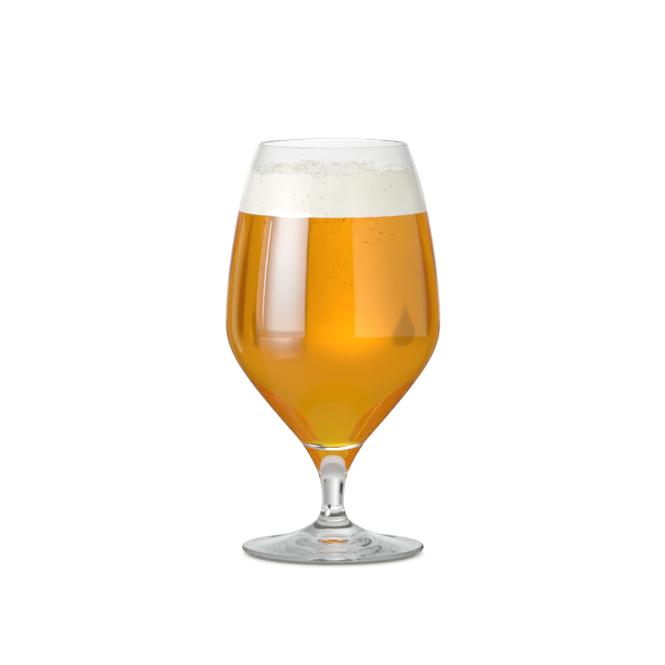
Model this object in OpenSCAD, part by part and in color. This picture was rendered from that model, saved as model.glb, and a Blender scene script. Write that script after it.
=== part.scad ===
// Stemmed tulip beer glass with a poured beer: a blown bowl, a drawn stem and a pressed foot,
// fused at two flat joints, and the beer, the foam and the gas bubbles that stand in the bowl.
// Millimetres, +Z up. The origin is the middle of the ring that the foot stands on.

/* [Bowl] */
// Height of the bowl, from its joint with the stem to the rim
bowl_h = 144; // [120:1:170]
// Outer diameter of the rim
rim_d = 65.6; // [58:0.2:74]
// Inward lean of the wall at the rim, in degrees from the vertical
rim_lean = 24.5; // [12:0.5:32]
// Wall thickness at the rim, which has a full round lip
rim_wall = 1.2; // [0.8:0.1:2]
// Outer diameter of the belly, the widest part
belly_d = 94.6; // [84:0.2:106]
// Height of the belly above the joint with the stem
belly_h = 66.5; // [58:0.5:76]
// Wall thickness at the belly
belly_wall = 1.5; // [1:0.1:2.5]
// Outer diameter where the cone under the belly ends and the flare to the stem begins
cone_d = 31.4; // [28:0.2:36]
// Height of the cone's end above the joint with the stem
cone_h = 13.8; // [11:0.2:16]
// Outward lean of the cone at its end, in degrees from the vertical
cone_lean = 41; // [36:0.5:46]
// Wall thickness at the cone's end
cone_wall = 4.5; // [3:0.1:5.5]
// Thickness of the solid glass between the joint with the stem and the beer
floor_t = 11.4; // [9:0.2:14]

/* [Stem] */
// Height of the stem between its two joints
stem_h = 22; // [18:0.5:40]
// Diameter of the joint between the bowl and the stem
stem_top_d = 14.8; // [13:0.2:18]
// Outward lean of the glass at that joint, in degrees from the vertical
stem_top_lean = 24; // [15:0.5:32]
// Diameter of the stem at its neck, the narrowest place
neck_d = 9.8; // [8:0.1:12]
// Height of the neck above the joint between the stem and the foot
neck_h = 6; // [4:0.2:9]
// Diameter of the joint between the stem and the foot
stem_low_d = 13.4; // [12:0.2:16]
// Outward lean of the glass at that joint, in degrees from the vertical
stem_low_lean = 31.5; // [20:0.5:40]

/* [Foot] */
// Height of the foot, from the table to its joint with the stem
foot_h = 14; // [11:0.5:18]
// Diameter of the foot
foot_d = 80.4; // [70:0.2:92]
// Thickness of the foot at its round edge
foot_edge_t = 2.2; // [1.6:0.1:3.2]
// Rise of the foot's upper face at its edge, in degrees
foot_rise = 2.8; // [0:0.2:6]
// Width of the flat ring that the foot stands on
rest_w = 3; // [2:0.2:6]
// Height of the hollow under the middle of the foot
hollow_h = 3; // [1:0.2:5]

/* [Beer] */
// Free height between the foam and the rim
headspace = 11.5; // [8:0.5:30]
// Height of the foam
foam_h = 18; // [6:0.5:30]
// Number of gas bubbles that rise in the beer
rising_count = 48; // [12:1:96]
// Diameter of the largest rising bubble
rising_d = 0.9; // [0.5:0.05:1.4]
// Number of coarse bubbles on the foam along the glass
rim_bubble_count = 26; // [12:1:30]
// Number of coarse bubbles on the rest of the foam
top_bubble_count = 30; // [8:1:40]
// Diameter of the largest coarse bubble
coarse_d = 4.2; // [2.5:0.1:5]

/* [Hidden] */
$fn = 128;

// Segments in each long curve, in each short curve and in each round edge
long_steps = 24;
short_steps = 10;
edge_steps = 8;

// Clear glass or beer between a bubble and what is beside it
bubble_gap = 0.4;
// Depth below the foam that the rising bubbles reach
rising_depth = 62;
// Turn from one bubble to the next, the golden angle, which spreads them evenly
golden_turn = 137.508;

// Reach of each curve's handle, as a share of the height or length that it spans
rim_handle_share = 0.3;
belly_up_share = 0.21;
belly_down_share = 0.25;
cone_up_share = 0.81;
cone_down_share = 0.12;
joint_up_share = 0.58;
joint_down_share = 0.34;
neck_up_share = 0.41;
neck_down_share = 0.27;
ankle_up_share = 0.31;
ankle_down_share = 0.5;
edge_handle_share = 0.35;
floor_slope_share = 0.95;
floor_flat_share = 0.3;
hollow_share = 0.5;

// Smallest bubble and deepest sunk bubble, as shares of the largest one
small_bubble_share = 0.45;
bubble_sink_share = 0.2;
// Innermost rising bubble, as a share of the beer's radius
rising_core_share = 0.35;
// Steps from one bubble's size to the next one's, and from one bubble's reach to the next one's
size_step_share = 0.755;
reach_step_share = 0.57;

// Heights above the table
low_joint_z = foot_h;
neck_z = low_joint_z + neck_h;
top_joint_z = foot_h + stem_h;
cone_z = top_joint_z + cone_h;
floor_z = top_joint_z + floor_t;
belly_z = top_joint_z + belly_h;
glass_h = top_joint_z + bowl_h;
foam_z = glass_h - headspace;
beer_z = foam_z - foam_h;

// The lip is a half circle across the wall, square to the wall's lean
lip_r = rim_wall / 2;
lip_middle = [rim_d / 2 - lip_r, glass_h - lip_r];
rim_point = lip_middle + lip_r * [cos(rim_lean), sin(rim_lean)];
rim_z = rim_point[1];

// The foot's edge is a half circle too
edge_r = foot_edge_t / 2;
edge_middle = [foot_d / 2 - edge_r, edge_r];
rest_in_r = edge_middle[0] - rest_w;

// A knot of an outline: its point [radius, height], its lean and the reach of its handles up and down
rim_knot = [rim_point, -rim_lean, 0, rim_handle_share * (rim_z - belly_z)];
belly_knot = [
    [belly_d / 2, belly_z], 0,
    belly_up_share * (rim_z - belly_z), belly_down_share * (belly_z - cone_z)
];
cone_knot = [
    [cone_d / 2, cone_z], cone_lean,
    cone_up_share * (belly_z - cone_z), cone_down_share * cone_h
];
top_joint_knot = [
    [stem_top_d / 2, top_joint_z], stem_top_lean,
    joint_up_share * cone_h, joint_down_share * (stem_h - neck_h)
];
neck_knot = [
    [neck_d / 2, neck_z], 0,
    neck_up_share * (stem_h - neck_h), neck_down_share * neck_h
];
low_joint_knot = [
    [stem_low_d / 2, low_joint_z], -stem_low_lean,
    ankle_up_share * neck_h, ankle_down_share * (foot_h - foot_edge_t)
];
edge_knot = [
    [edge_middle[0], foot_edge_t], foot_rise - 90,
    edge_handle_share * (edge_middle[0] - stem_low_d / 2), 0
];

// Unit vector that points up along a line of the given lean
function along(lean) = [sin(lean), cos(lean)];

// Cubic curve from a to d with handles b and c, without its first point
function bezier(a, b, c, d, steps) = [
    for (i = [1 : steps])
        let (t = i / steps, u = 1 - t)
            a * u * u * u + b * 3 * t * u * u + c * 3 * t * t * u + d * t * t * t
];

// Curve up from one knot to the next, without its first point
function climb(low, high, steps) = bezier(
    low[0], low[0] + along(low[1]) * low[2],
    high[0] - along(high[1]) * high[3], high[0], steps
);

// Arc about a middle point, both ends included
function arc(middle, radius, from, to, steps) = [
    for (i = [0 : steps])
        let (a = from + (to - from) * i / steps)
            middle + radius * [cos(a), sin(a)]
];

function reversed(points) = [for (i = [len(points) - 1 : -1 : 0]) points[i]];

// Wall thickness of the bowl at a height: least change at the belly
function wall_at(z) =
    let (
        upper = z > belly_z,
        share = upper ? (z - belly_z) / (rim_z - belly_z) : (belly_z - z) / (belly_z - cone_z),
        end_wall = upper ? rim_wall : cone_wall
    )
    belly_wall + (end_wall - belly_wall) * share * share;

// Outside of the bowl's wall from the cone's end up to the lip
wall_outside = concat(
    [cone_knot[0]],
    climb(cone_knot, belly_knot, long_steps),
    climb(belly_knot, rim_knot, long_steps)
);

// The direction of the wall at one of its points, upwards
function wall_run(i) =
    let (last = len(wall_outside) - 1)
    i == 0 ? along(cone_lean)
    : i == last ? along(-rim_lean)
    : let (d = wall_outside[i + 1] - wall_outside[i - 1]) d / norm(d);

// Inside of the wall: each outside point moved in by the wall's thickness
wall_inside = [
    for (i = [0 : len(wall_outside) - 1])
        let (run = wall_run(i), p = wall_outside[i])
            p + wall_at(p[1]) * [-run[1], run[0]]
];

// Round floor of the bowl, from the middle out to the wall
floor_rim = wall_inside[0];
floor_drop = floor_rim[1] - floor_z;
floor_line = concat(
    [[0, floor_z]],
    bezier(
        [0, floor_z], [floor_flat_share * floor_rim[0], floor_z],
        floor_rim - along(cone_lean) * floor_slope_share * floor_drop, floor_rim, short_steps
    )
);

// Whole inside of the bowl, from the middle of the floor up to the lip
inside = concat(floor_line, [for (i = [1 : len(wall_inside) - 1]) wall_inside[i]]);

// Radius of the inside at a height above the floor
inside_by_z = [for (p = inside) [p[1], p[0]]];
function inside_r(z) = lookup(z, inside_by_z);

// Inside points between two heights, with the two ends worked out
function inside_between(low, high) = concat(
    [[inside_r(low), low]],
    [for (p = inside) if (p[1] > low && p[1] < high) p],
    [[inside_r(high), high]]
);

// A share from 0 to 1 that jumps about as i counts up
function scatter(i, step) = i * step - floor(i * step);

module turned(points) {
    rotate_extrude()
        polygon(points);
}

// Glass

module bowl() {
    color("aliceblue", 0.35)
        turned(concat(
            [[0, top_joint_z], top_joint_knot[0]],
            climb(top_joint_knot, cone_knot, short_steps),
            [for (i = [1 : len(wall_outside) - 1]) wall_outside[i]],
            arc(lip_middle, lip_r, rim_lean, rim_lean + 180, edge_steps),
            reversed(inside)
        ));
}

module stem() {
    color("aliceblue", 0.35)
        turned(concat(
            [[0, low_joint_z], low_joint_knot[0]],
            climb(low_joint_knot, neck_knot, short_steps),
            climb(neck_knot, top_joint_knot, short_steps),
            [[0, top_joint_z]]
        ));
}

module foot() {
    color("aliceblue", 0.35)
        turned(concat(
            [[0, hollow_h]],
            bezier(
                [0, hollow_h], [hollow_share * rest_in_r, hollow_h],
                [(1 - hollow_share / 2) * rest_in_r, 0], [rest_in_r, 0], short_steps
            ),
            arc(edge_middle, edge_r, -90, 90, edge_steps),
            climb(edge_knot, low_joint_knot, long_steps),
            [[0, low_joint_z]]
        ));
}

// Contents

module beer() {
    color("orange", 0.85)
        difference() {
            turned(concat(
                [for (p = inside) if (p[1] <= floor_z) p],
                inside_between(floor_z, beer_z),
                [[0, beer_z]]
            ));
            rising_balls();
        }
}

module foam_head() {
    color("ivory")
        turned(concat([[0, beer_z]], inside_between(beer_z, foam_z), [[0, foam_z]]));
}

// Diameter of a coarse bubble
function coarse_size(i) =
    coarse_d * (small_bubble_share + (1 - small_bubble_share) * scatter(i, size_step_share));

// A bubble that stands out of the foam's flat top
module dome(place, d) {
    sink = bubble_sink_share * d;
    translate([place[0], place[1], foam_z])
        intersection() {
            translate([0, 0, -sink])
                sphere(d = d);
            translate([-d, -d, 0])
                cube([2 * d, 2 * d, d]);
        }
}

// Radius of the ring of coarse bubbles along the glass, which leans in above the foam
ring_r = inside_r(foam_z + coarse_d) - coarse_d / 2 - bubble_gap;
// Radius of the field inside that ring
field_r = ring_r - coarse_d - bubble_gap;

module foam_bubbles() {
    color("floralwhite") {
        for (i = [0 : rim_bubble_count - 1]) {
            a = 360 * i / rim_bubble_count;
            dome(ring_r * [cos(a), sin(a)], coarse_size(i));
        }
        for (i = [0 : top_bubble_count - 1]) {
            a = golden_turn * i;
            dome(field_r * sqrt(i / top_bubble_count) * [cos(a), sin(a)], coarse_size(i));
        }
    }
}

// The rising bubbles lie closer together the nearer they are to the foam
module rising_balls() {
    for (i = [0 : rising_count - 1]) {
        share = (i + 1) / rising_count;
        z = beer_z - rising_d - bubble_gap - rising_depth * share * share;
        reach = inside_r(z) - rising_d - bubble_gap;
        r = reach * (rising_core_share + (1 - rising_core_share) * sqrt(scatter(i, reach_step_share)));
        a = golden_turn * i;
        d = rising_d * (small_bubble_share + (1 - small_bubble_share) * scatter(i, size_step_share));
        translate([r * cos(a), r * sin(a), z])
            sphere(d = d);
    }
}

module rising_bubbles() {
    color("white", 0.4)
        rising_balls();
}

bowl();
stem();
foot();
beer();
foam_head();
foam_bubbles();
rising_bubbles();
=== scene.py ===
import bisect
import math
import random

import bmesh
import bpy
from mathutils import Matrix, Vector, noise
from mathutils.geometry import interpolate_bezier


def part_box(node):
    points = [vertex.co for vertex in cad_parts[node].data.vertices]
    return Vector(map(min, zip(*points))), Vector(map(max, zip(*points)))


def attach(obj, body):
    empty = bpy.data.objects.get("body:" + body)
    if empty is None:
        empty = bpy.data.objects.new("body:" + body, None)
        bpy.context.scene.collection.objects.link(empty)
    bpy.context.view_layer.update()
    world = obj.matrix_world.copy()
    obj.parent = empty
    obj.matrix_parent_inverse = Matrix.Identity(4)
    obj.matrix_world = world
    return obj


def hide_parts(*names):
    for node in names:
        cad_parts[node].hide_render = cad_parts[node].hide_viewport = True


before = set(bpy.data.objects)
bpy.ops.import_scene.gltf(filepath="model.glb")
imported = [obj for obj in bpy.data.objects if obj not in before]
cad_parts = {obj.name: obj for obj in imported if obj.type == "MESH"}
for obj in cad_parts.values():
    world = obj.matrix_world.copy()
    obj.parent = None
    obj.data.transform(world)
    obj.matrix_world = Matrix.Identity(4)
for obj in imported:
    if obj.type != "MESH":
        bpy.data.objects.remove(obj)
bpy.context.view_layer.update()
print("frame loaded:", ", ".join(sorted(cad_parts)))

# Lengths in the settings are millimetres, and the meshes are metres
mm = 0.001
hair = 0.001  # a length too small to matter
turnSteps = 192  # faces round the glass
joinGap = 0.0005 * mm  # points closer than this are one point
creaseAngle = math.radians(50)  # edges sharper than this stay crisp
lightSteps = 32  # steps that light may take through glass and beer
clearWhite = (1, 1, 1, 1)
scene = bpy.context.scene


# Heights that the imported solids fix
def nodeTop(node):
    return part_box(node)[1].z / mm


def nodeBase(node):
    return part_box(node)[0].z / mm


heights = {
    "lowJoint": nodeTop("foot"),
    "topJoint": nodeTop("stem"),
    "floor": nodeBase("beer"),
    "beerLine": nodeTop("beer"),
    "foamLine": nodeTop("foam_head"),
    "rim": nodeTop("bowl"),
}


# Outline tools: a knot is a point with a lean from the vertical and the reach of its two handles
def along(lean):
    return Vector((math.sin(math.radians(lean)), math.cos(math.radians(lean))))


def knot(radius, height, lean=0.0, up=0.0, down=0.0):
    return {"at": Vector((radius, height)), "run": along(lean), "up": up, "down": down}


def climb(low, high, steps):
    # Curve up from one knot to the next, both ends included
    return interpolate_bezier(
        low["at"], low["at"] + low["run"] * low["up"],
        high["at"] - high["run"] * high["down"], high["at"], steps + 1
    )


def arc(middle, radius, start, end, steps):
    turns = [math.radians(start + (end - start) * i / steps) for i in range(steps + 1)]
    return [middle + radius * Vector((math.cos(a), math.sin(a))) for a in turns]


def spinRun(bm, points, slot=0, steps=turnSteps):
    # Turns one run of an outline round the axis: a quarter turn, mirrored twice
    run = bmesh.new()
    verts = [run.verts.new((p[0] * mm, 0, p[1] * mm)) for p in points]
    edges = [run.edges.new(pair) for pair in zip(verts, verts[1:])]
    bmesh.ops.spin(run, geom=verts + edges, cent=(0, 0, 0), axis=(0, 0, 1),
                   angle=math.tau / 4, steps=steps // 4, use_duplicate=False)
    for side in "XY":
        whole = run.verts[:] + run.edges[:] + run.faces[:]
        bmesh.ops.mirror(run, geom=whole, axis=side, merge_dist=joinGap)
    for face in run.faces:
        face.material_index = slot
        face.smooth = True
    mesh = bpy.data.meshes.new("run")
    run.to_mesh(mesh)
    run.free()
    bm.from_mesh(mesh)
    bpy.data.meshes.remove(mesh)


def closeShell(bm):
    # Joins the runs and the poles, turns the faces out and keeps the joints' corners crisp
    bmesh.ops.remove_doubles(bm, verts=bm.verts, dist=joinGap)
    bmesh.ops.dissolve_degenerate(bm, edges=bm.edges, dist=joinGap)
    bmesh.ops.recalc_face_normals(bm, faces=bm.faces)
    for edge in bm.edges:
        if len(edge.link_faces) == 2 and edge.calc_face_angle() > creaseAngle:
            edge.smooth = False


def addPiece(name, bm, materials, node):
    mesh = bpy.data.meshes.new(name)
    bm.to_mesh(mesh)
    bm.free()
    for material in materials:
        mesh.materials.append(material)
    piece = bpy.data.objects.new(name, mesh)
    scene.collection.objects.link(piece)
    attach(piece, "root")
    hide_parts(node)
    print(f"{name}: {len(mesh.polygons)} faces")
    return piece


# Materials

def newTree(owner):
    owner.use_nodes = True
    owner.node_tree.nodes.clear()
    return owner.node_tree


def newMaterial(name):
    material = bpy.data.materials.new(name)
    return material, newTree(material)


def addNode(tree, kind, **inputs):
    node = tree.nodes.new(kind)
    for name, value in inputs.items():
        node.inputs[name].default_value = value
    return node


def setSurface(tree, shader):
    out = addNode(tree, "ShaderNodeOutputMaterial")
    tree.links.new(shader.outputs[0], out.inputs["Surface"])
    return out


def attribute(tree, name):
    # What the mesh itself carries under a name
    node = addNode(tree, "ShaderNodeAttribute")
    node.attribute_name = name
    return node


def ramp(tree, source, span, ends):
    # A value within a span, spread from one end value to the other
    spanNode = addNode(tree, "ShaderNodeMapRange")
    for index, value in enumerate((*span, *ends), 1):
        spanNode.inputs[index].default_value = value
    tree.links.new(source, spanNode.inputs["Value"])
    return spanNode.outputs["Result"]


def moreThan(tree, source, limit):
    # 1 where a value is over a limit and 0 elsewhere
    over = addNode(tree, "ShaderNodeMath")
    over.operation = "GREATER_THAN"
    over.inputs[1].default_value = limit
    tree.links.new(source, over.inputs[0])
    return over.outputs[0]


def mixColour(tree, factor, first, second):
    # Two colours, each a socket or a value, mixed by a socket
    mix = addNode(tree, "ShaderNodeMix")
    mix.data_type = "RGBA"
    tree.links.new(factor, mix.inputs["Factor"])
    for name, value in (("A", first), ("B", second)):
        if isinstance(value, tuple):
            mix.inputs[name].default_value = value
        else:
            tree.links.new(value, mix.inputs[name])
    return mix.outputs["Result"]


def mixShaders(tree, factor, first, second):
    mix = addNode(tree, "ShaderNodeMixShader")
    tree.links.new(factor, mix.inputs["Fac"])
    tree.links.new(first.outputs[0], mix.inputs[1])
    tree.links.new(second.outputs[0], mix.inputs[2])
    return mix


def lightOnly(tree):
    # 1 for rays that gather lamp light or soft light for a matt surface
    path = addNode(tree, "ShaderNodeLightPath")
    either = addNode(tree, "ShaderNodeMath")
    either.operation = "MAXIMUM"
    tree.links.new(path.outputs["Is Shadow Ray"], either.inputs[0])
    tree.links.new(path.outputs["Is Diffuse Ray"], either.inputs[1])
    return either.outputs[0]


def letLampsThrough(tree, shader):
    # That light passes straight through, so that what is in the glass and the floor are lit
    clear = addNode(tree, "ShaderNodeBsdfTransparent", Color=clearWhite)
    return mixShaders(tree, lightOnly(tree), shader, clear)


glassLook = {
    "ior": 1.52, "wetIor": 1.13,  # to air, and to beer: 1.52 / 1.345
    "face": (0.99, 0.992, 0.992, 1), "edge": (0.93, 0.94, 0.935, 1), "edgeBlend": 0.25,
    "waveScale": 45.0, "waveHeight": 0.02 * mm, "waveStrength": 0.35,
}


def clearGlass(name):
    # Clear at its face and greyer at its edge, with the slight waviness of blown glass
    material, tree = newMaterial(name)
    facing = addNode(tree, "ShaderNodeLayerWeight", Blend=glassLook["edgeBlend"])
    tint = mixColour(tree, facing.outputs["Facing"], glassLook["face"], glassLook["edge"])
    place = addNode(tree, "ShaderNodeTexCoord")
    wave = addNode(tree, "ShaderNodeTexNoise", Scale=glassLook["waveScale"], Detail=1)
    uneven = addNode(tree, "ShaderNodeBump",
                     Strength=glassLook["waveStrength"], Distance=glassLook["waveHeight"])
    glass = addNode(tree, "ShaderNodeBsdfGlass", Roughness=0, IOR=glassLook["ior"])
    tree.links.new(tint, glass.inputs["Color"])
    tree.links.new(place.outputs["Object"], wave.inputs["Vector"])
    tree.links.new(wave.outputs["Fac"], uneven.inputs["Height"])
    tree.links.new(uneven.outputs["Normal"], glass.inputs["Normal"])
    setSurface(tree, letLampsThrough(tree, glass))
    return material


def wetGlass():
    # Glass that beer wets: only the step from glass to beer bends and mirrors light
    material, tree = newMaterial("wetGlass")
    step = addNode(tree, "ShaderNodeBsdfGlass", Color=clearWhite, Roughness=0, IOR=glassLook["wetIor"])
    setSurface(tree, letLampsThrough(tree, step))
    return material


def fusedJoint():
    # The glass runs on through a fused joint, so its faces bend nothing
    material, tree = newMaterial("fusedJoint")
    setSurface(tree, addNode(tree, "ShaderNodeBsdfTransparent", Color=clearWhite))
    return material


beerLook = {
    "ior": 1.0,  # the wet glass bends light for it
    "wide": (1, 0.68, 0.04, 1), "narrow": (1, 0.85, 0.03, 1),  # the face is deeper where the beer is wider
    "depth": (0.998, 0.933, 0.0, 1), "density": 45.0,
    "tintedSteps": 5.5,  # light that comes in again after so many steps isn't tinted again
}


def amberBeer():
    material, tree = newMaterial("amberBeer")
    path = addNode(tree, "ShaderNodeLightPath")
    again = moreThan(tree, path.outputs["Transmission Depth"], beerLook["tintedSteps"])
    tint = mixColour(tree, attribute(tree, "width").outputs["Fac"], beerLook["narrow"], beerLook["wide"])
    tint = mixColour(tree, again, tint, clearWhite)
    bend = addNode(tree, "ShaderNodeBsdfRefraction", Roughness=0, IOR=beerLook["ior"])
    soak = addNode(tree, "ShaderNodeVolumeAbsorption", Color=beerLook["depth"])
    density = ramp(tree, lightOnly(tree), (0, 1), (beerLook["density"], 0))
    tree.links.new(tint, bend.inputs["Color"])
    tree.links.new(density, soak.inputs["Density"])
    out = setSurface(tree, letLampsThrough(tree, bend))
    tree.links.new(soak.outputs[0], out.inputs["Volume"])
    return material


# Of each kind of spot: how fine it is, from where to where it fades, and its share there
foamLook = {
    "cream": (0.955, 0.945, 0.9, 1), "deepCream": (0.93, 0.91, 0.845, 1),
    "film": (0.85, 0.825, 0.75, 1), "speck": (0.78, 0.62, 0.54, 1), "hole": (0.82, 0.79, 0.7, 1),
    "top": (0.86, 0.86, 0.83, 1), "under": (0.68, 0.5, 0.12, 1),  # the top's grey is painted shade, and the underside's amber is painted light that comes through the beer
    "patchScale": 70.0, "patchSpan": (0.4, 0.65),
    "bubbleScale": 1000.0, "bubbleSpan": (0.35, 0.75), "bubbleShare": (0, 0.22),
    "grainScale": 2300.0, "grainSpan": (0.4, 0.8), "grainShare": (0, 0.14),
    "speckScale": 210.0, "speckSpan": (0.1, 0.16), "speckShare": (0.6, 0),
    "holeScale": 430.0, "holeSpan": (0.28, 0.42), "holeShare": (0.5, 0),
    "bumpHeight": 0.12 * mm, "bumpStrength": 0.5, "roughness": 0.75,
}


def creamFoam():
    # Fine bubbles, cream patches and a few brown specks, and a coarser top with painted shade that makes it
    # greyer
    material, tree = newMaterial("creamFoam")
    place = addNode(tree, "ShaderNodeTexCoord").outputs["Object"]
    patches = addNode(tree, "ShaderNodeTexNoise", Scale=foamLook["patchScale"], Detail=2)
    tree.links.new(place, patches.inputs["Vector"])
    spots, shares = {}, {}
    for kind in ("bubble", "grain", "speck", "hole"):
        cells = addNode(tree, "ShaderNodeTexVoronoi", Scale=foamLook[kind + "Scale"])
        tree.links.new(place, cells.inputs["Vector"])
        spots[kind] = cells.outputs["Distance"]
        shares[kind] = ramp(tree, spots[kind], foamLook[kind + "Span"], foamLook[kind + "Share"])
    coarse = addNode(tree, "ShaderNodeMath")
    coarse.operation = "MULTIPLY"
    tree.links.new(shares["hole"], coarse.inputs[0])
    tree.links.new(attribute(tree, "edge").outputs["Fac"], coarse.inputs[1])
    patchShare = ramp(tree, patches.outputs["Fac"], foamLook["patchSpan"], (0, 1))
    colour = mixColour(tree, patchShare, foamLook["cream"], foamLook["deepCream"])
    colour = mixColour(tree, shares["bubble"], colour, foamLook["film"])
    colour = mixColour(tree, shares["grain"], colour, foamLook["film"])
    colour = mixColour(tree, shares["speck"], colour, foamLook["speck"])
    colour = mixColour(tree, coarse.outputs[0], colour, foamLook["hole"])
    # The top gets its painted shade here, and the underside its painted light from the beer
    for name in ("top", "under"):
        colour = mixColour(tree, attribute(tree, name).outputs["Fac"], colour, foamLook[name])
    rough = addNode(tree, "ShaderNodeBump",
                    Strength=foamLook["bumpStrength"], Distance=foamLook["bumpHeight"])
    rough.invert = True
    body = addNode(tree, "ShaderNodeBsdfPrincipled",
                   **{"Roughness": foamLook["roughness"], "Specular IOR Level": 0})
    tree.links.new(spots["bubble"], rough.inputs["Height"])
    tree.links.new(colour, body.inputs["Base Color"])
    tree.links.new(rough.outputs["Normal"], body.inputs["Normal"])
    setSurface(tree, body)
    return material


filmLook = {
    "tint": (0.98, 0.965, 0.925, 1), "edge": (0.95, 0.945, 0.92, 1),
    "blend": 0.35, "whiteShare": (0.02, 0.45),  # at its face and at its edge
}


def bubbleFilm():
    # A wet film: see-through at its face and white at its edge
    material, tree = newMaterial("bubbleFilm")
    facing = addNode(tree, "ShaderNodeLayerWeight", Blend=filmLook["blend"])
    clear = addNode(tree, "ShaderNodeBsdfTransparent", Color=filmLook["tint"])
    white = addNode(tree, "ShaderNodeBsdfDiffuse", Color=filmLook["edge"])
    share = ramp(tree, facing.outputs["Facing"], (0, 1), filmLook["whiteShare"])
    setSurface(tree, mixShaders(tree, share, clear, white))
    return material


gasLook = {"ior": 0.93, "tint": (0.83, 0.72, 0.53, 1)}  # small bubbles, so their lens is weak; their dark tint is painted shade that makes them dark dots


def gasBubble():
    material, tree = newMaterial("gasBubble")
    # The dark tint is painted shade, in place of the dark rings that gas bubbles show at their edges
    gas = addNode(tree, "ShaderNodeBsdfGlass", Color=gasLook["tint"], Roughness=0, IOR=gasLook["ior"])
    setSurface(tree, letLampsThrough(tree, gas))
    return material


bowlMaterial = clearGlass("bowlGlass")
footMaterial = clearGlass("footGlass")
wetMaterial = wetGlass()
jointMaterial = fusedJoint()
beerMaterial = amberBeer()
foamMaterial = creamFoam()
filmMaterial = bubbleFilm()
gasMaterial = gasBubble()
print("materials made")

# Outline of the glass, the same curves as the solids
bowlShape = {
    "rimRadius": 32.8, "rimLean": 24.5, "rimWall": 1.2, "rimReach": 0.3,
    "bellyRadius": 47.3, "bellyHeight": 66.5, "bellyUp": 0.21, "bellyDown": 0.25, "bellyWall": 1.5,
    "coneRadius": 15.7, "coneHeight": 13.8, "coneLean": 41.0, "coneUp": 0.81, "coneDown": 0.12,
    "coneWall": 4.5, "floorSlope": 0.95, "floorFlat": 0.3,
    "steps": 40, "floorSteps": 20, "baseSteps": 20, "lipSteps": 10,
}
stemShape = {
    "topRadius": 7.4, "topLean": 24.0, "topUp": 0.58, "topDown": 0.34,
    "neckRadius": 4.9, "neckHeight": 6.0, "neckUp": 0.41, "neckDown": 0.27,
    "lowRadius": 6.7, "lowLean": 31.5, "lowUp": 0.31, "steps": 24,
}
footShape = {
    "radius": 40.2, "edge": 2.2, "rise": 2.8, "reach": 0.35, "lowDown": 0.5,
    "restWidth": 3.0, "hollow": 3.0, "hollowReach": 0.5, "steps": 40, "edgeSteps": 12,
}

lipRadius = bowlShape["rimWall"] / 2
lipMiddle = Vector((bowlShape["rimRadius"] - lipRadius, heights["rim"] - lipRadius))
rimNormal = along(90 - bowlShape["rimLean"])
rimPoint = lipMiddle + lipRadius * rimNormal
bellyLine = heights["topJoint"] + bowlShape["bellyHeight"]
coneLine = heights["topJoint"] + bowlShape["coneHeight"]
upperSpan = rimPoint.y - bellyLine
lowerSpan = bellyLine - coneLine
stemSpan = heights["topJoint"] - heights["lowJoint"] - stemShape["neckHeight"]

rimKnot = knot(*rimPoint, lean=-bowlShape["rimLean"], down=bowlShape["rimReach"] * upperSpan)
bellyKnot = knot(bowlShape["bellyRadius"], bellyLine,
                 up=bowlShape["bellyUp"] * upperSpan, down=bowlShape["bellyDown"] * lowerSpan)
coneKnot = knot(bowlShape["coneRadius"], coneLine, bowlShape["coneLean"],
                bowlShape["coneUp"] * lowerSpan, bowlShape["coneDown"] * bowlShape["coneHeight"])
topKnot = knot(stemShape["topRadius"], heights["topJoint"], stemShape["topLean"],
               stemShape["topUp"] * bowlShape["coneHeight"], stemShape["topDown"] * stemSpan)
neckKnot = knot(stemShape["neckRadius"], heights["lowJoint"] + stemShape["neckHeight"], 0,
                stemShape["neckUp"] * stemSpan, stemShape["neckDown"] * stemShape["neckHeight"])
lowKnot = knot(stemShape["lowRadius"], heights["lowJoint"], -stemShape["lowLean"],
               stemShape["lowUp"] * stemShape["neckHeight"],
               footShape["lowDown"] * (heights["lowJoint"] - footShape["edge"]))
edgeRadius = footShape["edge"] / 2
edgeMiddle = Vector((footShape["radius"] - edgeRadius, edgeRadius))
edgeKnot = knot(edgeMiddle.x, footShape["edge"], footShape["rise"] - 90,
                footShape["reach"] * (edgeMiddle.x - stemShape["lowRadius"]))

wallOutside = climb(coneKnot, bellyKnot, bowlShape["steps"])
wallOutside += climb(bellyKnot, rimKnot, bowlShape["steps"])[1:]


def wallThickness(height):
    # Changes little near the belly and more towards the rim and the solid base
    if height > bellyLine:
        share, end = (height - bellyLine) / upperSpan, bowlShape["rimWall"]
    else:
        share, end = (bellyLine - height) / lowerSpan, bowlShape["coneWall"]
    return bowlShape["bellyWall"] + (end - bowlShape["bellyWall"]) * share * share


def insideLine(overlap):
    # Inside of the bowl from the middle of its floor up to the lip, moved into the wall by overlap
    wall = []
    for i, point in enumerate(wallOutside):
        run = wallOutside[min(i + 1, len(wallOutside) - 1)] - wallOutside[max(i - 1, 0)]
        if i == 0:
            run = coneKnot["run"]
        if i == len(wallOutside) - 1:
            run = rimKnot["run"]
        inward = Vector((-run.y, run.x)).normalized()
        wall.append(point + inward * (wallThickness(point.y) - overlap))
    base = Vector((0, heights["floor"] - overlap))
    rise = wall[0].y - base.y
    floor = interpolate_bezier(
        base, base + Vector((bowlShape["floorFlat"] * wall[0].x, 0)),
        wall[0] - coneKnot["run"] * bowlShape["floorSlope"] * rise, wall[0], bowlShape["floorSteps"]
    )
    return floor + wall[1:]


cutGap = 0.01  # points nearer to a cut than this are left out


def cutLine(points, low, high):
    # The part of a rising line between two heights, with its ends worked out
    def pointAt(height):
        for a, b in zip(points, points[1:]):
            if a.y <= height <= b.y and b.y > a.y:
                return a.lerp(b, (height - a.y) / (b.y - a.y))
        return points[0] if height < points[0].y else points[-1]
    return [pointAt(low)] + [p for p in points if low + cutGap < p.y < high - cutGap] + [pointAt(high)]


glassInside = insideLine(0)


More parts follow.
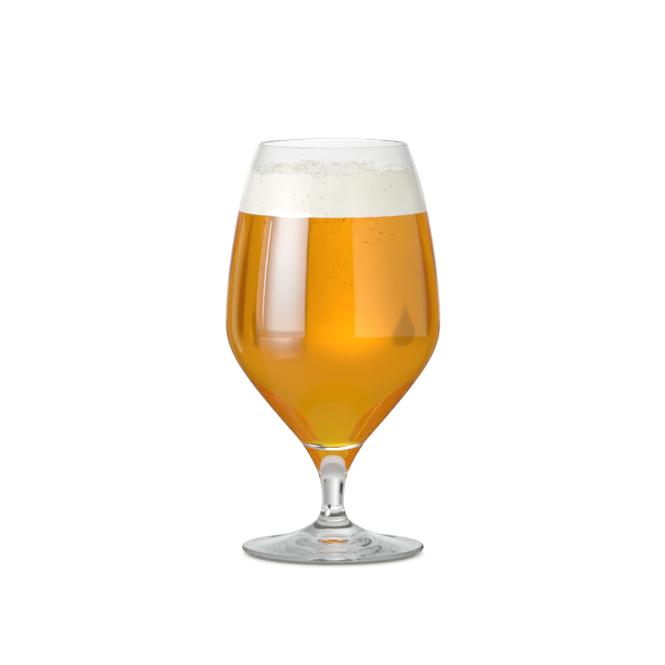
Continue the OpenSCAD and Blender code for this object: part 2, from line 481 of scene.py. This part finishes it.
def makeBowl():
    bm = bmesh.new()
    axisFoot = Vector((0, heights["topJoint"]))
    lip = arc(lipMiddle, lipRadius, bowlShape["rimLean"], bowlShape["rimLean"] + 180, bowlShape["lipSteps"])
    dry = cutLine(glassInside, heights["foamLine"], heights["rim"])
    wet = cutLine(glassInside, heights["floor"], heights["foamLine"])
    base = climb(topKnot, coneKnot, bowlShape["baseSteps"])
    spinRun(bm, base + wallOutside[1:] + lip[1:] + dry[-2::-1])
    spinRun(bm, wet, slot=1)
    spinRun(bm, [axisFoot, topKnot["at"]], slot=2)
    closeShell(bm)
    return addPiece("bowl_glass", bm, [bowlMaterial, wetMaterial, jointMaterial], "bowl")


def makeStem():
    bm = bmesh.new()
    side = climb(lowKnot, neckKnot, stemShape["steps"]) + climb(neckKnot, topKnot, stemShape["steps"])[1:]
    spinRun(bm, side)
    spinRun(bm, [Vector((0, heights["lowJoint"])), lowKnot["at"]], slot=1)
    spinRun(bm, [Vector((0, heights["topJoint"])), topKnot["at"]], slot=1)
    closeShell(bm)
    return addPiece("stem_glass", bm, [footMaterial, jointMaterial], "stem")


def makeFoot():
    bm = bmesh.new()
    restIn = Vector((edgeMiddle.x - footShape["restWidth"], 0))
    crown = Vector((0, footShape["hollow"]))
    reach = footShape["hollowReach"]
    hollow = interpolate_bezier(
        crown, crown + Vector((reach * restIn.x, 0)),
        Vector(((1 - reach / 2) * restIn.x, 0)), restIn, footShape["steps"]
    )
    edge = arc(edgeMiddle, edgeRadius, -90, 90, footShape["edgeSteps"])
    spinRun(bm, hollow + edge + climb(edgeKnot, lowKnot, footShape["steps"])[1:])
    spinRun(bm, [Vector((0, heights["lowJoint"])), lowKnot["at"]], slot=1)
    closeShell(bm)
    return addPiece("foot_glass", bm, [footMaterial, jointMaterial], "foot")


makeBowl()
makeStem()
makeFoot()

# Contents: the beer stops a hair short of the wall that it wets, and the foam reaches a hair into it
contents = {"beerGap": 0.02, "foamOverlap": 0.06, "foamSink": 0.1}


def makeBeer():
    bm = bmesh.new()
    side = cutLine(insideLine(-contents["beerGap"]), 0, heights["beerLine"])
    spinRun(bm, side + [Vector((0, heights["beerLine"]))])
    closeShell(bm)
    widthLayer = bm.verts.layers.float.new("width")
    for vert in bm.verts:
        vert[widthLayer] = min(1, vert.co.xy.length / mm / bowlShape["bellyRadius"])
    return addPiece("amber_beer", bm, [beerMaterial], "beer")


foamShape = {
    "rings": 72, "turns": 480, "sideSteps": 16,
    "hump": 1.8, "humpSize": 19.0, "swell": 1.9, "swellSize": 7.0,  # how high and how wide the lumps are
    "dome": 0.4, "domeSize": 2.2, "domeReach": 0.6,
    "lineWave": 0.35, "waveSize": 3.0, "waveFade": 4,  # its lower edge, and how fast that evens out upwards
    "edgeDepth": 3.2, "underEdge": 0.5, "offset": Vector((31.7, 12.3, 5.1)),
}
innerHeights = [p.y for p in glassInside]


def wallRadius(height):
    # Radius of the bowl's inside at a height above its floor
    i = min(max(bisect.bisect(innerHeights, height), 1), len(glassInside) - 1)
    low, high = glassInside[i - 1], glassInside[i]
    return low.x + (high.x - low.x) * (height - low.y) / (high.y - low.y)


def foamRise(x, y):
    # Height of the foam's lumpy top over the foam line
    place = Vector((x, y, 0)) + foamShape["offset"]
    rise = foamShape["hump"] * noise.noise(place / foamShape["humpSize"])
    rise += foamShape["swell"] * noise.noise(place / foamShape["swellSize"])
    nearest = noise.voronoi(place / foamShape["domeSize"])[0][0] / foamShape["domeReach"]
    return rise + foamShape["dome"] * max(0, 1 - nearest ** 2) - foamShape["dome"] / 2


def settleFoam(vert, base, topRadius):
    # Moves a point of the plain foam to its lumpy place, and says 1 for its top and 0 for the rest
    x, y, z = vert.co / mm
    radius = math.hypot(x, y)
    if z > heights["foamLine"] - hair and radius < topRadius:
        z += foamRise(x, y)
        share = (wallRadius(z) + contents["foamOverlap"]) / topRadius
        vert.co = Vector((x * share, y * share, z)) * mm
        return 1
    if radius < wallRadius(z) - hair:
        return 0
    edge = topRadius / radius
    share = (z - base) / (heights["foamLine"] - base)
    wave = (noise.noise(Vector((x, y, 0)) / foamShape["waveSize"]) - 1) / 2
    z += share * foamRise(x * edge, y * edge)
    z += (1 - share) ** foamShape["waveFade"] * foamShape["lineWave"] * wave
    share = (wallRadius(z) + contents["foamOverlap"]) / radius
    vert.co = Vector((x * share, y * share, z)) * mm
    return 0


def makeFoam():
    bm = bmesh.new()
    base = heights["beerLine"] - contents["foamSink"]
    top = heights["foamLine"]
    topRadius = wallRadius(top) + contents["foamOverlap"]
    sideSteps, rings = foamShape["sideSteps"], foamShape["rings"]
    side = [base + (top - base) * i / sideSteps for i in range(sideSteps + 1)]
    line = [Vector((0, base)), Vector((wallRadius(base) - foamShape["underEdge"], base))]
    line += [Vector((wallRadius(z) + contents["foamOverlap"], z)) for z in side]
    line += [Vector((topRadius * (1 - i / rings), top)) for i in range(1, rings + 1)]
    spinRun(bm, line, steps=foamShape["turns"])
    closeShell(bm)
    # The foam's top, which gets painted shade, its upper edge, and its underside, which gets painted light
    # from the beer
    shadedTopLayer = bm.verts.layers.float.new("top")
    edgeLayer = bm.verts.layers.float.new("edge")
    underLayer = bm.verts.layers.float.new("under")
    underRadius = (wallRadius(base) - foamShape["underEdge"] / 2) * mm
    for vert in bm.verts:
        vert[underLayer] = float(vert.co.z < base * mm + joinGap and vert.co.xy.length < underRadius)
        vert[edgeLayer] = max(0, 1 - (top - vert.co.z / mm) / foamShape["edgeDepth"])
        vert[shadedTopLayer] = settleFoam(vert, base, topRadius)
    return addPiece("foam_head_cream", bm, [foamMaterial], "foam_head")


def addBall(bm, place, radius, steps):
    spot = Matrix.Translation(place * mm)
    ball = bmesh.ops.create_icosphere(bm, subdivisions=steps, radius=radius * mm, matrix=spot)
    for vert in ball["verts"]:
        for face in vert.link_faces:
            face.smooth = True


# Coarse bubbles on the foam: a ring along the glass, some of it slipped down, and a field over the top
coarseBubbles = {
    "ring": 66, "field": 60, "smallest": 0.4, "largest": 1.5, "smallMore": 2, "fineness": 2,
    "wallLine": 1.0, "wallGap": 0.95, "fieldReach": 0.93, "stand": 0.15, "slip": 0.6, "seed": 11,
}


def makeFoamBubbles():
    bm = bmesh.new()
    chance = random.Random(coarseBubbles["seed"])
    span = coarseBubbles["largest"] - coarseBubbles["smallest"]
    wall = wallRadius(heights["foamLine"] + coarseBubbles["wallLine"])
    for i in range(coarseBubbles["ring"] + coarseBubbles["field"]):
        inRing = i < coarseBubbles["ring"]
        size = coarseBubbles["smallest"] + span * chance.random() ** coarseBubbles["smallMore"]
        turn = chance.uniform(0, math.tau)
        share = 1 if inRing else math.sqrt(chance.random()) * coarseBubbles["fieldReach"]
        reach = share * (wall - coarseBubbles["wallGap"] * size)
        x, y = reach * math.cos(turn), reach * math.sin(turn)
        slip = coarseBubbles["slip"] * inRing * chance.random()
        height = heights["foamLine"] + foamRise(x, y) + size * (coarseBubbles["stand"] - slip)
        addBall(bm, Vector((x, y, height)), size, coarseBubbles["fineness"])
    return addPiece("foam_bubbles_film", bm, [filmMaterial], "foam_bubbles")


# Gas bubbles: a plume at the front, and more all round that thin out away from the foam
risingBubbles = {
    "plume": 200, "plumeMiddle": 2.5, "plumeWidth": 7.5, "plumeReach": (0.8, 1),
    "around": 150, "aroundOut": 0.3, "widest": 0.88,
    "topGap": 1.0, "depth": 46.0, "thinning": 1.7,
    "smallest": 0.18, "largest": 0.4, "fineness": 1, "clear": 0.25, "seed": 5,
}


def makeRisingBubbles():
    bm = bmesh.new()
    chance = random.Random(risingBubbles["seed"])
    for i in range(risingBubbles["plume"] + risingBubbles["around"]):
        size = chance.uniform(risingBubbles["smallest"], risingBubbles["largest"])
        height = heights["beerLine"] - risingBubbles["topGap"] - size
        height -= risingBubbles["depth"] * chance.random() ** risingBubbles["thinning"]
        reach = wallRadius(height) - size - risingBubbles["clear"]
        if i < risingBubbles["plume"]:
            x = chance.gauss(risingBubbles["plumeMiddle"], risingBubbles["plumeWidth"])
            y = -math.sqrt(reach * reach - x * x) * chance.uniform(*risingBubbles["plumeReach"])
        else:
            turn = chance.uniform(0, math.tau)
            out = reach * chance.random() ** risingBubbles["aroundOut"]
            x, y = risingBubbles["widest"] * out * math.cos(turn), out * math.sin(turn)
        addBall(bm, Vector((x, y, height)), size, risingBubbles["fineness"])
    return addPiece("rising_bubbles_gas", bm, [gasMaterial], "rising_bubbles")


makeBeer()
foam = makeFoam()
foamBubbles = makeFoamBubbles()
makeRisingBubbles()

# Camera, at the photograph's angle
cameraSettings = {
    "place": (-0.0002, -2.16, 0.3186), "aim": (-0.0002, 0, 0.09636), "lens": 266.8, "sensor": 36,
}


def makeCamera():
    data = bpy.data.cameras.new("camera")
    data.lens = cameraSettings["lens"]
    data.sensor_width = cameraSettings["sensor"]
    camera = bpy.data.objects.new("camera", data)
    place, aim = Vector(cameraSettings["place"]), Vector(cameraSettings["aim"])
    camera.location = place
    camera.rotation_euler = (aim - place).to_track_quat("-Z", "Y").to_euler()
    scene.collection.objects.link(camera)
    scene.camera = camera


makeCamera()

# Stage: a white floor for the camera, and round it the studio that only the glass shows
stageSettings = {
    "floorSize": 16.0, "floorDrop": 0.2, "floorColour": (0.9, 0.9, 0.9, 1), "skyFill": 0.25,
    "domeRadius": 1.6, "domeHeight": 0.1, "domeSteps": (360, 180), "panelSteps": (64, 32),
}


def addStage(name, bm, material):
    mesh = bpy.data.meshes.new(name)
    bm.to_mesh(mesh)
    bm.free()
    mesh.materials.append(material)
    stageObject = bpy.data.objects.new(name, mesh)
    scene.collection.objects.link(stageObject)
    return stageObject


def makeFloor():
    material, tree = newMaterial("paleFloor")
    setSurface(tree, addNode(tree, "ShaderNodeBsdfDiffuse", Color=stageSettings["floorColour"]))
    bm = bmesh.new()
    bmesh.ops.create_grid(bm, x_segments=1, y_segments=1, size=stageSettings["floorSize"] / 2)
    bmesh.ops.translate(bm, verts=bm.verts, vec=(0, 0, -stageSettings["floorDrop"] * mm))
    floorObject = addStage("floor", bm, material)
    floorObject.visible_glossy = False
    floorObject.visible_transmission = False
    return floorObject


def makeWorld():
    # A soft fill that is white to the camera
    world = bpy.data.worlds.new("studio")
    scene.world = world
    tree = newTree(world)
    path = addNode(tree, "ShaderNodeLightPath")
    sky = addNode(tree, "ShaderNodeBackground", Color=clearWhite)
    out = addNode(tree, "ShaderNodeOutputWorld")
    strength = ramp(tree, path.outputs["Is Camera Ray"], (0, 1), (stageSettings["skyFill"], 1))
    tree.links.new(strength, sky.inputs["Strength"])
    tree.links.new(sky.outputs[0], out.inputs["Surface"])


floor = makeFloor()
makeWorld()


def addGlow(tree, colour):
    light = addNode(tree, "ShaderNodeEmission", Strength=1)
    tree.links.new(colour, light.inputs["Color"])
    return light


def makeGlow():
    # Light of the mesh's own glow colours
    material, tree = newMaterial("glow")
    setSurface(tree, addGlow(tree, attribute(tree, "glow").outputs["Color"]))
    return material


cardSteps = 4.5  # light that took more steps came through the beer


def makeCardGlow():
    # The same, for cards that show in clear glass but not through the beer
    material, tree = newMaterial("cardGlow")
    path = addNode(tree, "ShaderNodeLightPath")
    light = addGlow(tree, attribute(tree, "glow").outputs["Color"])
    clear = addNode(tree, "ShaderNodeBsdfTransparent", Color=clearWhite)
    deep = moreThan(tree, path.outputs["Transmission Depth"], cardSteps)
    setSurface(tree, mixShaders(tree, deep, light, clear))
    return material


glowMaterial = makeGlow()
cardMaterial = makeCardGlow()


def onlyInGlass(stageObject, through, mirroring):
    # Shown by what the glass lets through, or by what it mirrors
    stageObject.visible_camera = False
    stageObject.visible_diffuse = False
    stageObject.visible_shadow = False
    stageObject.visible_transmission = through
    stageObject.visible_glossy = mirroring


def bump(value, middle, width):
    return math.exp(-((value - middle) / width) ** 2)


def spread(values, share):
    # Value at a share of the way along a short list
    place = share * (len(values) - 1)
    step = min(int(place), len(values) - 2)
    return values[step] + (values[step + 1] - values[step]) * (place - step)


def ease(value, span):
    # 0 before a span and 1 after it, with a soft start and end
    share = min(max((value - span[0]) / (span[1] - span[0]), 0), 1)
    return share * share * (3 - 2 * share)


def fade(value, target, share):
    return value + (target - value) * share


# What the glass shows behind it. Bearings are degrees from straight behind towards +X, rises and drops
# are degrees up and down, and each pair of degrees is where one level fades into the next
behind = {
    "sides": 0.67, "edgeFall": 0.1, "edgeTurn": (24, 36), "high": 0.71, "highRise": (3, 10),
    "limb": 0.6, "limbTurn": (40, 43), "flank": 0.8, "flankTurn": (47, 54),
    "front": 0.92, "frontTurn": (82, 110), "low": 1.9, "lowDrop": (18, 28),
    "arch": 0.05, "archRise": 28, "archWidth": 7,
    # A pool of light low in the beer
    "poolBearing": -5, "poolWidth": 10.3, "pool": 0.03, "poolLow": 0.2, "poolRise": (-9, 8),
    "horizon": 0.55, "horizonRise": -0.5, "horizonWidth": 7,
    # Dark bands, and drops with a tip: bearing, rise, size and depth
    "dims": ((36, -6, 3.2, 10, 0.22), (-40, -7, 5, 10, 0.15)), "dimEdge": (0.6, 1.2), "dimRed": 0.35,
    "drops": ((-22.5, -7.5, 12.5, 5.6, 0.25), (26, -8, 14, 3.2, 0.24)), "dropBulge": 2.6, "dropEdge": 0.6,
    "streak": (28, 0.5, 0.8, 3.5, 0.6),
    # A dark flag that the beer shows under the strip's reflection
    "flagBearings": (7, 25), "flagRises": (-13, 11),
    "flagAcross": (0.45, 0.7, 0.86, 0.93, 0.93, 0.9, 0.76, 0.5, 0.24, 0.08, 0),
    "flagUp": (1, 1, 1, 0.95, 0.87, 0.8, 0.73, 0.69, 0.42, 0.42, 0.45, 0.25, 0.12, 0.08, 0.04, 0),
}


def flagShade(bearing, rise):
    # How much of the light the flag takes
    start, end = behind["flagBearings"]
    low, high = behind["flagRises"]
    across, up = (bearing - start) / (end - start), (rise - low) / (high - low)
    if 0 < across < 1 and up < 1:
        return spread(behind["flagAcross"], across) * spread(behind["flagUp"], max(up, 0))
    return 0


def dropShade(bearing, rise, drop):
    # A drop is pointed at its lower end and round at its upper end
    middle, tip, length, width, depth = drop
    share = (rise - tip) / length
    if not 0 < share < 1:
        return 0
    half = width * behind["dropBulge"] * share * math.sqrt(1 - share)
    edge = behind["dropEdge"]
    return depth * (1 - ease(abs(bearing - middle), (half - edge, half + edge)))


def glowBehind(bearing, rise):
    turn = abs(bearing)
    glow = behind["sides"] - behind["edgeFall"] * ease(turn, behind["edgeTurn"])
    glow = fade(glow, behind["high"], ease(rise, behind["highRise"]))
    glow -= behind["arch"] * bump(rise, behind["archRise"], behind["archWidth"])
    pool = behind["pool"] + behind["poolLow"] * (1 - ease(rise, behind["poolRise"]))
    pool += behind["horizon"] * bump(rise, behind["horizonRise"], behind["horizonWidth"])
    glow += pool * bump(bearing, behind["poolBearing"], behind["poolWidth"])
    for name in ("limb", "flank", "front"):
        glow = fade(glow, behind[name], ease(turn, behind[name + "Turn"]))
    glow *= fade(1, behind["low"], ease(-rise, behind["lowDrop"]))
    glow *= 1 - flagShade(bearing, rise)
    red = 0
    for middle, height, width, tall, depth in behind["dims"]:
        away = math.hypot((bearing - middle) / width, (rise - height) / tall)
        share = 1 - ease(away, behind["dimEdge"])
        glow -= depth * share
        red = max(red, behind["dimRed"] * share)
    for drop in behind["drops"]:
        glow -= dropShade(bearing, rise, drop)
    middle, height, width, tall, gain = behind["streak"]
    glow += gain * bump(bearing, middle, width) * bump(rise, height, tall)
    return glow, glow * (1 - red), glow * (1 - red)


# What the glass mirrors: dark round the camera, a pale backdrop and ceiling
mirrored = {
    "level": 0.12, "rim": 0.8, "rimTurn": (18, 26), "rimDrop": (4.5, 7),
    "behind": 0.98, "behindRise": (1.5, 4), "above": 0.42, "aboveRise": (8, 20),
    "front": 0.01, "frontTurn": (22, 40), "table": 0.02, "tableDrop": (10, 30),
    "ceiling": 0.6, "ceilingRise": (42, 60),
}


def glowMirrored(bearing, rise):
    turn = abs(bearing)
    rim = (1 - ease(turn, mirrored["rimTurn"])) * (1 - ease(-rise, mirrored["rimDrop"]))
    glow = fade(mirrored["level"], mirrored["rim"], rim)
    glow = fade(glow, mirrored["behind"], ease(rise, mirrored["behindRise"]))
    glow = fade(glow, mirrored["above"], ease(rise, mirrored["aboveRise"]))
    glow = fade(glow, mirrored["front"], ease(turn, mirrored["frontTurn"]))
    glow = fade(glow, mirrored["table"], ease(-rise, mirrored["tableDrop"]))
    glow = fade(glow, mirrored["ceiling"], ease(rise, mirrored["ceilingRise"]))
    return glow, glow, glow


def makeDome(name, glowAt, through):
    # A grid wrapped round the glass, a degree to a face
    bm = bmesh.new()
    bearingSteps, riseSteps = stageSettings["domeSteps"]
    bmesh.ops.create_grid(bm, x_segments=bearingSteps, y_segments=riseSteps, size=1)
    glowLayer = bm.verts.layers.float_color.new("glow")
    middle = Vector((0, 0, stageSettings["domeHeight"]))
    for vert in bm.verts:
        bearing, rise = 180 * vert.co.x, 90 * vert.co.y
        level = along(bearing) * math.cos(math.radians(rise))
        vert[glowLayer] = (*glowAt(bearing, rise), 1)
        vert.co = middle + stageSettings["domeRadius"] * Vector((*level, math.sin(math.radians(rise))))
    onlyInGlass(addStage(name, bm, glowMaterial), through, not through)


makeDome("domeBehind", glowBehind, True)
makeDome("domeMirrored", glowMirrored, False)

# The table under the foot as the glass shows it: lit at the middle, in shade towards the edge. Seen steeply
# it is white, and seen by way of the glass's own mirroring, once or more often, it has a level of its own
footShade = {
    "radius": 46.0, "drop": 0.1, "rings": 23, "turns": 96,
    "lit": 0.9, "dark": 0.32, "shadeSpan": (20.0, 30.0),
    "steep": (0.9, 0.9, 0.9, 1), "steepBlend": 0.5, "steepSpan": (0.35, 0.6),
    "once": (0.12, 0.12, 0.12, 1), "often": (0.58, 0.58, 0.57, 1), "onceSteps": 0.5, "oftenSteps": 2.5,
}


def footShadeLook():
    material, tree = newMaterial("footShade")
    facing = addNode(tree, "ShaderNodeLayerWeight", Blend=footShade["steepBlend"])
    path = addNode(tree, "ShaderNodeLightPath")
    once = moreThan(tree, path.outputs["Glossy Depth"], footShade["onceSteps"])
    often = moreThan(tree, path.outputs["Glossy Depth"], footShade["oftenSteps"])
    low = ramp(tree, facing.outputs["Facing"], footShade["steepSpan"], (0, 1))
    seen = mixColour(tree, low, footShade["steep"], attribute(tree, "glow").outputs["Color"])
    mirroredSeen = mixColour(tree, often, footShade["once"], footShade["often"])
    setSurface(tree, addGlow(tree, mixColour(tree, once, seen, mirroredSeen)))
    return material


def makeFootShade():
    bm = bmesh.new()
    step = footShade["radius"] / footShade["rings"]
    spinRun(bm, [Vector((step * i, 0)) for i in range(footShade["rings"] + 1)], steps=footShade["turns"])
    bmesh.ops.remove_doubles(bm, verts=bm.verts, dist=joinGap)
    bmesh.ops.translate(bm, verts=bm.verts, vec=(0, 0, -footShade["drop"] * mm))
    glowLayer = bm.verts.layers.float_color.new("glow")
    for vert in bm.verts:
        share = ease(vert.co.xy.length / mm, footShade["shadeSpan"])
        glow = fade(footShade["lit"], footShade["dark"], share)
        vert[glowLayer] = (glow, glow, glow, 1)
    onlyInGlass(addStage("footShade", bm, footShadeLook()), True, False)


# Lamps shine through the glass, so a disc that only casts a shadow stands in for the foot's own
footShadow = {"radius": 39.0, "height": 3.3, "turns": 96}


def makeFootShadow():
    bm = bmesh.new()
    bmesh.ops.create_circle(bm, cap_ends=True, segments=footShadow["turns"],
                            radius=footShadow["radius"] * mm)
    bmesh.ops.translate(bm, verts=bm.verts, vec=(0, 0, footShadow["height"] * mm))
    material, tree = newMaterial("footShadow")
    setSurface(tree, addNode(tree, "ShaderNodeBsdfDiffuse", Color=(0, 0, 0, 1)))
    shadow = addStage("footShadow", bm, material)
    onlyInGlass(shadow, False, False)
    shadow.visible_shadow = True
    return shadow


makeFootShade()
shadowDisc = makeFootShadow()

# Light panels that the glass mirrors. Bearings are degrees from the camera's side towards +X, near and far
# are places out from the glass and up in metres, and the glow is given across a panel and then up it
plainWhite = (1, 1, 1)
softGreen = (0.7, 1.12, 0.85)  # what the amber leaves of a white light's reflection
panels = {
    "stripBox": {
        "bearings": (-86, -28.5), "near": (0.45, 0.0), "far": (0.45, 0.27), "tint": plainWhite,
        "across": (2.6, 2.2, 3.4, 10, 16, 18.6, 19, 18.2, 16, 12.4, 7),
        "up": (0.36, 0.36, 0.36, 0.72, 0.69, 0.72, 0.76, 0.81, 0.87, 0.92, 0.97, 1, 1, 1, 1, 1),
        "tops": (0.245, 0.262, 0.274, 0.28, 0.284, 0.288, 0.294),
    },
    "stripTop": {
        "bearings": (-92, -28.5), "near": (0.46, 0.2), "far": (0.46, 0.42), "tint": (1, 0.95, 0.95),
        "across": (0.2, 0.6, 1.2, 1.8, 2.1, 2.2, 2, 1.7, 1.2, 0.5), "up": (1, 1, 1, 0.8, 0.5),
    },
    "stripLine": {
        "bearings": (-77.7, -75.3), "near": (0.44, 0.06), "far": (0.44, 0.24), "tint": (0.6, 0.85, 1),
        "across": (5, 15, 15, 5), "up": (0.25, 0.6, 0.9, 1, 1, 1),
    },
    "stripTable": {
        "bearings": (-86, -31), "near": (0.13, 0.0), "far": (0.44, 0.0), "tint": plainWhite,
        "across": (0.1, 0.17, 0.23, 0.37, 0.58, 0.83, 0.98, 1, 0.9, 0.55, 0.35, 0.07),
        "up": (2, 2.5, 4.6, 6.3, 7.8, 9.5, 9),
    },
    "tableGlow": {
        "bearings": (-95, -20), "near": (0.05, 0.0), "far": (0.13, 0.0), "tint": softGreen,
        "across": (0.08, 0.36, 0.4, 0.4, 0.28, 0.08), "up": (0.3, 1),
    },
    "edgeBlock": {
        "bearings": (-110, -15), "near": (0.058, -0.002), "far": (0.058, 0.034), "tint": plainWhite,
        "across": (0.15, 0.15), "up": (1, 1),
    },
    "rightBlock": {
        "bearings": (-15, 130), "near": (0.058, -0.002), "far": (0.058, 0.02), "tint": plainWhite,
        "across": (0.05, 0.05), "up": (1, 1),
    },
    "leftEdge": {
        "bearings": (-137, -121), "near": (0.6, -0.15), "far": (0.6, 0.19), "tint": softGreen,
        "across": (0.15, 0.65, 0.7, 0.5, 0.15), "up": (1, 1),
    },
    "softBox": {
        "bearings": (22, 116), "near": (0.45, 0.0), "far": (0.45, 0.27), "tint": softGreen,
        "across": (1.17, 1.17, 0.95, 0.8, 0.62, 0.54, 0.5, 0.5, 0.5), "up": (1.5, 1.47, 1.4, 1.2, 0.92),
    },
    "softTop": {
        "bearings": (22, 116), "near": (0.45, 0.27), "far": (0.45, 0.5), "tint": (1, 0.9, 0.7),
        "across": (0.9, 0.9, 0.8, 0.7, 0.62, 0.56, 0.55, 0.6, 0.6), "up": (0.9, 0.68, 0.6, 0.55, 0.5),
    },
    # Cards that clear glass shows behind it
    "rimBack": {
        "bearings": (105, 255), "near": (0.1, 0.145), "far": (0.1, 0.2),
        "through": True, "tint": plainWhite,
        "across": (0.6, 0.6, 0.62, 0.65, 0.7, 0.79, 0.91, 0.955, 0.98, 0.985, 0.94, 0.88, 0.8, 0.7, 0.6),
        "up": (1, 1),
    },
    "stemBack": {
        "bearings": (135, 228), "near": (0.12, 0.0), "far": (0.12, 0.064),
        "through": True, "tint": plainWhite,
        "across": (0.6, 0.4, 0.36, 0.38, 0.42, 0.48, 0.66, 0.77, 0.97, 0.99, 0.8, 0.5, 0.34, 0.3, 0.3, 0.45),
        "up": (1, 1), "plain": 0.78, "fade": (0, 0, 0, 0, 0, 0.1, 0.5, 1),
    },
    "archBack": {
        "bearings": (140, 220), "near": (0.06, 0.0441), "far": (0.06, 0.071),
        "through": True, "tint": plainWhite, "across": (1, 1), "up": (0.72, 0.62, 0.52, 0.46, 0.45, 0.46),
    },
    "stemMark": {
        "bearings": (203, 228), "near": (0.11, 0.016), "far": (0.11, 0.042),
        "through": True, "tint": plainWhite, "across": (0.2, 0.05, 0.05, 0.15), "up": (2, 0.9, 0.6, 0.8, 1),
    },
    "stemSpot": {
        "bearings": (151, 159), "near": (0.11, 0.043), "far": (0.11, 0.053),
        "through": True, "tint": plainWhite, "across": (0.25, 0.18, 0.25), "up": (1, 1),
    },
}


def panelGlow(panel, across, up):
    # Colour of a panel at a share across it and a share up it
    glow = spread(panel["across"], across) * spread(panel["up"], up)
    if "fade" in panel:
        glow = fade(glow, panel["plain"], spread(panel["fade"], up))
    return [glow * part for part in panel["tint"]] + [1]


def makePanel(name, panel):
    # A grid bent round the glass
    start, end = (math.radians(b - 90) for b in panel["bearings"])
    near, far = Vector(panel["near"]), Vector(panel["far"])
    bm = bmesh.new()
    acrossSteps, upSteps = stageSettings["panelSteps"]
    bmesh.ops.create_grid(bm, x_segments=acrossSteps, y_segments=upSteps, size=0.5)
    glowLayer = bm.verts.layers.float_color.new("glow")
    for vert in bm.verts:
        across, up = vert.co.x + 0.5, vert.co.y + 0.5
        turn = start + (end - start) * across
        out, high = near.lerp(far, up)
        if "tops" in panel:
            high = near.y + (spread(panel["tops"], across) - near.y) * up
        vert[glowLayer] = panelGlow(panel, across, up)
        vert.co = (out * math.cos(turn), out * math.sin(turn), high)
    through = panel.get("through", False)
    onlyInGlass(addStage(name, bm, cardMaterial if through else glowMaterial), through, not through)


for panelName, panelSettings in panels.items():
    makePanel(panelName, panelSettings)

# Soft lamps, so far off that the floor is lit evenly. From is the way to the lamp
lamps = {
    "keyLamp": {"from": (-0.9, -0.9, 0.7), "power": 1.35, "tint": (1, 1, 1), "softness": 32},
    "fillLamp": {"from": (1.1, -0.6, 0.7), "power": 0.62, "tint": (1, 0.9, 0.68), "softness": 32},
    "topLamp": {"from": (-0.2, 0.35, 1), "power": 1.35, "tint": (1, 1, 1), "softness": 36},
    "floorLamp": {"from": (0, 1, 0.3), "power": 10.3, "tint": (1, 1, 1), "softness": 30, "floor": True},
}


def makeGroup(name, members):
    group = bpy.data.collections.new(name)
    for member in members:
        group.objects.link(member)
    return group


floorGroup = makeGroup("floorGroup", [floor])
shadowGroup = makeGroup("shadowGroup", [shadowDisc])
contentsGroup = makeGroup("contentsGroup", [foam, foamBubbles])


def makeLamp(name, lamp):
    # A soft sun, either for the floor or for what is in the glass
    data = bpy.data.lights.new(name, "SUN")
    data.energy = lamp["power"]
    data.color = lamp["tint"]
    data.angle = math.radians(lamp["softness"])
    lampObject = bpy.data.objects.new(name, data)
    lampObject.rotation_euler = Vector(lamp["from"]).to_track_quat("Z", "Y").to_euler()
    lampObject.visible_camera = False
    lampObject.visible_glossy = False
    lampObject.visible_transmission = False
    scene.collection.objects.link(lampObject)
    lampObject.light_linking.receiver_collection = floorGroup if "floor" in lamp else contentsGroup
    if "floor" in lamp:
        lampObject.light_linking.blocker_collection = shadowGroup


for lampName, lampSettings in lamps.items():
    makeLamp(lampName, lampSettings)

scene.view_settings.view_transform = "Standard"
scene.cycles.max_bounces = lightSteps
scene.cycles.glossy_bounces = lightSteps
scene.cycles.transmission_bounces = lightSteps
scene.cycles.transparent_max_bounces = lightSteps
print("stage made")
